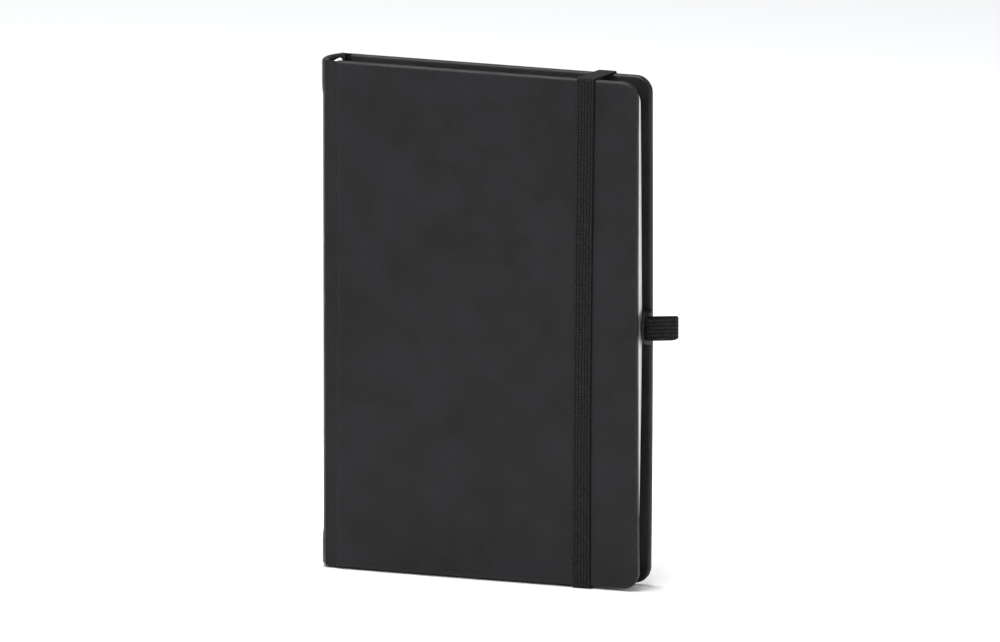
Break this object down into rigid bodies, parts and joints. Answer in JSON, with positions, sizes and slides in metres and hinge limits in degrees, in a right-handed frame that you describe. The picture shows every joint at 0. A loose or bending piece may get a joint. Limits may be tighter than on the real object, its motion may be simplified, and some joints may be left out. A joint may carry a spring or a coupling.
{
  "type": "pocket notebook",
  "caption": "Hardcover pocket notebook with rounded corners, sewn pages, an elastic closure band and an elastic pen loop; the covers and pages open on a hinged hollow spine.",
  "frame": {"origin": "under the middle of the notebook's box, at the lowest face of the elastic band, with the notebook standing on its tail", "axes": "+Z from tail to head, +X from the spine to the fore edge, -Y out of the front cover, +Y out of the back cover"},
  "size_m": [0.1016, 0.0142, 0.1412],
  "materials": {
    "cover_skin": "matt black leatherette, fine grain",
    "board": "grey bookbinding board",
    "endpaper": "plain cream paper",
    "page": "plain cream paper",
    "lining_cloth": "open cotton mull",
    "thread": "waxed sewing thread",
    "headband": "sewn headband",
    "loop_elastic": "ribbed woven elastic",
    "band_elastic": "ribbed woven elastic"
  },
  "bodies": {
    "back_cover": {"back_board": "board", "back_cover_skin": "cover_skin", "back_pastedown": "endpaper", "back_flyleaf": "endpaper", "signature_07": "page", "signature_08": "page", "signature_09": "page", "signature_10": "page", "signature_11": "page", "signature_12": "page", "back_spine_lining": "lining_cloth", "back_stitch_1": "thread", "back_stitch_2": "thread", "back_stitch_3": "thread", "back_stitch_4": "thread", "head_band": "headband", "tail_band": "headband", "pen_loop": "loop_elastic", "band_head_end": "band_elastic", "band_tail_end": "band_elastic", "band_head_crossing": "band_elastic", "band_tail_crossing": "band_elastic"},
    "spine": {"spine_skin": "cover_skin", "spine_card": "board", "front_joint_strip": "cover_skin", "back_joint_strip": "cover_skin"},
    "front_cover": {"front_board": "board", "front_cover_skin": "cover_skin", "front_pastedown": "endpaper"},
    "front_pages": {"front_flyleaf": "endpaper", "signature_01": "page", "signature_02": "page", "signature_03": "page", "signature_04": "page", "signature_05": "page", "signature_06": "page", "front_spine_lining": "lining_cloth", "front_stitch_1": "thread", "front_stitch_2": "thread", "front_stitch_3": "thread", "front_stitch_4": "thread"},
    "closure_band": {"band_front_run": "band_elastic"}
  },
  "joints": [
    {"name": "front_cover_hinge", "type": "hinge", "parent": "spine", "child": "front_cover", "pos_m": [-0.0471, -0.0059, 0.0706], "axis": [0, 0, -1], "range_deg": [0, 90], "deforming": ["front_joint_strip"]},
    {"name": "spine_hinge", "type": "hinge", "parent": "back_cover", "child": "spine", "pos_m": [-0.0471, 0.0059, 0.0706], "axis": [0, 0, -1], "range_deg": [0, 90], "deforming": ["back_joint_strip"]},
    {"name": "front_pages_hinge", "type": "hinge", "parent": "back_cover", "child": "front_pages", "pos_m": [-0.0477, 0, 0.0706], "axis": [0, 0, -1], "range_deg": [0, 180], "deforming": ["head_band", "tail_band"]},
    {"name": "band_swing", "type": "hinge", "parent": "back_cover", "child": "closure_band", "pos_m": [0.0265, 0.0003, 0.0706], "axis": [0, 0, 1], "range_deg": [0, 180], "deforming": ["band_front_run", "band_head_crossing", "band_tail_crossing", "band_head_end", "band_tail_end"]}
  ],
  "couplings": [
    {"joint": "spine_hinge", "follows": "front_cover_hinge", "ratio": 1},
    {"joint": "front_pages_hinge", "follows": "front_cover_hinge", "ratio": 2},
    {"joint": "band_swing", "follows": "front_cover_hinge", "ratio": 2}
  ]
}
